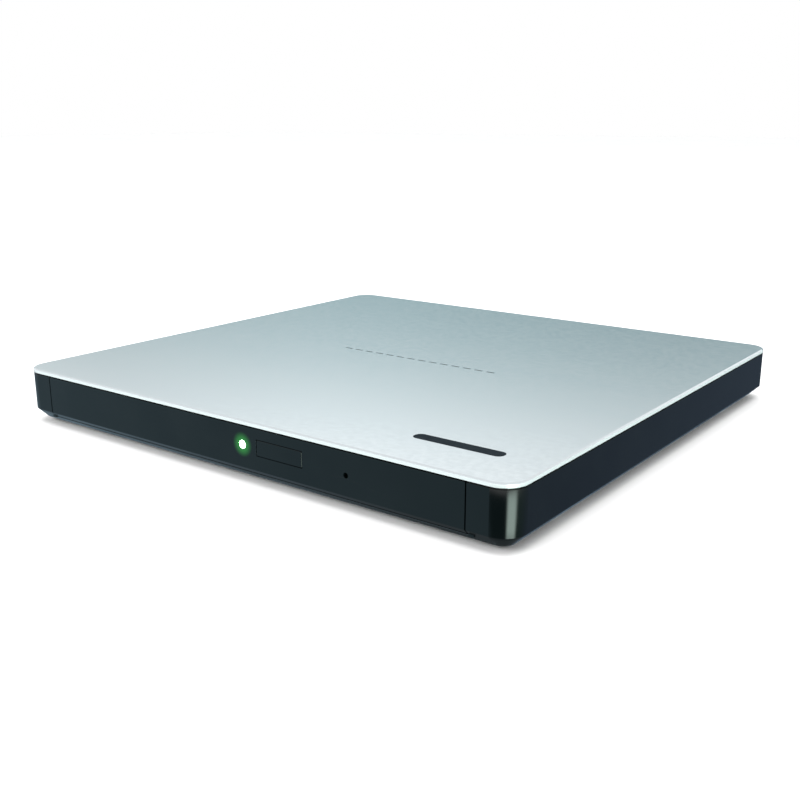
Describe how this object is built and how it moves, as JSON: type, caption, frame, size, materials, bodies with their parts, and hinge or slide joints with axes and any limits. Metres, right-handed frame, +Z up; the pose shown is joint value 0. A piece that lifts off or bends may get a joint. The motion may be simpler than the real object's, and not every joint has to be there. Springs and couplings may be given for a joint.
{
  "type": "external optical drive",
  "caption": "Slim square external disc drive with a silver top and a glossy black case; a tray with spindle, pickup and eject button slides out of its front.",
  "frame": {"origin": "centre of the rest plane under the rubber feet", "axes": "+Z up, -Y out of the front, where the tray opens, +X to the right seen from the front"},
  "size_m": [0.144, 0.1376, 0.014],
  "materials": {
    "silver_cover": "satin silver paint, very fine flake",
    "black_case": "glossy black moulded plastic",
    "black_bezel": "glossy black moulded plastic, as the case",
    "badge_grey": "plain dark inlay",
    "foot_rubber": "soft matt rubber",
    "screw_steel": "plated steel screws",
    "label_paper": "blank label film",
    "sheet_steel": "pressed and plated sheet steel",
    "white_plastic": "low-friction moulded plastic",
    "foam": "closed-cell foam strip",
    "board_green": "solder mask over copper traces",
    "chip_black": "moulded chip packages",
    "connector_black": "moulded connector housings",
    "connector_ivory": "moulded flex connectors",
    "socket_steel": "drawn steel socket shell",
    "flex_film": "white polyester film over flat conductors",
    "tray_grey": "finely textured dark moulded plastic",
    "light_pipe": "clear moulded light pipe",
    "led_green": "lit green light",
    "motor_steel": "turned steel",
    "magnet_dark": "bonded magnet",
    "bronze": "sintered bronze",
    "copper": "enamelled copper windings and film",
    "rod_steel": "ground and polished steel",
    "hub_plastic": "pale moulded plastic",
    "pad_rubber": "non-slip rubber ring",
    "cast_metal": "die-cast metal",
    "lens_black": "lens frame with a coated lens",
    "button_black": "glossy black moulded plastic"
  },
  "bodies": {
    "case": {"top_cover": "silver_cover", "cover_badge": "badge_grey", "bottom_case": "black_case", "rubber_feet": "foot_rubber", "case_screws": "screw_steel", "label_plate": "label_paper", "lower_chassis": "sheet_steel", "upper_chassis_cover": "sheet_steel", "chassis_screws": "screw_steel", "rail_guide_left": "white_plastic", "rail_guide_right": "white_plastic", "foam_strips": "foam", "interface_card": "board_green", "rear_flex_connector": "connector_ivory", "drive_plug": "connector_black", "bridge_socket": "connector_black", "bridge_board": "board_green", "bridge_chips": "chip_black", "bridge_screws": "screw_steel", "usb_shell": "socket_steel", "usb_contact_block": "connector_black", "flex_cable": "flex_film"},
    "tray": {"tray": "tray_grey", "tray_bezel": "black_bezel", "led_lens": "light_pipe", "status_led": "led_green", "tray_bottom_plate": "sheet_steel", "tray_screws": "screw_steel", "main_board": "board_green", "board_chips": "chip_black", "eject_switch": "socket_steel", "tray_flex_connector": "connector_ivory", "traverse_frame": "sheet_steel", "traverse_dampers": "pad_rubber", "traverse_screws": "screw_steel", "motor_base": "copper", "motor_bush": "bronze", "motor_stator": "copper", "guide_rods": "rod_steel", "stepper_motor": "motor_steel", "screw_bracket": "sheet_steel", "latch_solenoid": "copper", "latch_pivot": "rod_steel", "ejector_spring": "rod_steel"},
    "rail_left": {"rail_left": "sheet_steel"},
    "rail_right": {"rail_right": "sheet_steel"},
    "button": {"eject_button": "button_black"},
    "hub": {"rotor_bell": "motor_steel", "magnet_ring": "magnet_dark", "spindle_shaft": "rod_steel", "turntable": "hub_plastic", "disc_pad": "pad_rubber"},
    "claw_1": {"claw_1": "white_plastic"},
    "claw_2": {"claw_2": "white_plastic"},
    "claw_3": {"claw_3": "white_plastic"},
    "sled": {"pickup_sled": "cast_metal"},
    "lens": {"lens_holder": "lens_black"},
    "lead_screw": {"lead_screw": "rod_steel"},
    "latch": {"latch_lever": "white_plastic"},
    "ejector": {"ejector_plunger": "white_plastic"}
  },
  "joints": [
    {"name": "tray_slide", "type": "slide", "parent": "case", "child": "tray", "axis": [0, -1, 0], "range_m": [0, 0.126], "deforming": ["flex_cable"]},
    {"name": "rail_left_slide", "type": "slide", "parent": "case", "child": "rail_left", "axis": [0, -1, 0], "range_m": [0, 0.063]},
    {"name": "rail_right_slide", "type": "slide", "parent": "case", "child": "rail_right", "axis": [0, -1, 0], "range_m": [0, 0.063]},
    {"name": "ejector_push", "type": "slide", "parent": "tray", "child": "ejector", "axis": [0, 1, 0], "range_m": [0, 0.006], "deforming": ["ejector_spring"]},
    {"name": "button_press", "type": "slide", "parent": "tray", "child": "button", "axis": [0, 1, 0], "range_m": [0, 0.0005], "stiffness_N_per_m": 1000},
    {"name": "spindle_spin", "type": "hinge", "parent": "tray", "child": "hub", "pos_m": [0, -0.004, 0.008], "axis": [0, 0, 1], "continuous": true},
    {"name": "sled_slide", "type": "slide", "parent": "tray", "child": "sled", "axis": [-0.7071, 0.7071, 0], "range_m": [0, 0.033]},
    {"name": "lead_screw_spin", "type": "hinge", "parent": "tray", "child": "lead_screw", "pos_m": [-0.00672, 0.03171, 0.00485], "axis": [-0.7071, 0.7071, 0], "range_deg": [0, 3961]},
    {"name": "lens_focus", "type": "slide", "parent": "sled", "child": "lens", "axis": [0, 0, 1], "range_m": [-0.0004, 0.0004], "stiffness_N_per_m": 50},
    {"name": "latch_turn", "type": "hinge", "parent": "tray", "child": "latch", "pos_m": [0.049, -0.06, 0.004], "axis": [0, 0, 1], "range_deg": [0, 8], "stiffness_Nm_per_rad": 0.002},
    {"name": "claw_1_press", "type": "slide", "parent": "hub", "child": "claw_1", "axis": [0.7071, -0.7071, 0], "range_m": [0, 0.0006], "stiffness_N_per_m": 300},
    {"name": "claw_2_press", "type": "slide", "parent": "hub", "child": "claw_2", "axis": [0.2588, 0.9659, 0], "range_m": [0, 0.0006], "stiffness_N_per_m": 300},
    {"name": "claw_3_press", "type": "slide", "parent": "hub", "child": "claw_3", "axis": [-0.9659, -0.2588, 0], "range_m": [0, 0.0006], "stiffness_N_per_m": 300}
  ],
  "couplings": [
    {"joint": "rail_left_slide", "follows": "tray_slide", "ratio": 0.5},
    {"joint": "rail_right_slide", "follows": "tray_slide", "ratio": 0.5},
    {"joint": "ejector_push", "follows": "tray_slide", "ratio": 0.0476},
    {"joint": "lead_screw_spin", "follows": "sled_slide", "rad_per_m": 2094.4}
  ]
}
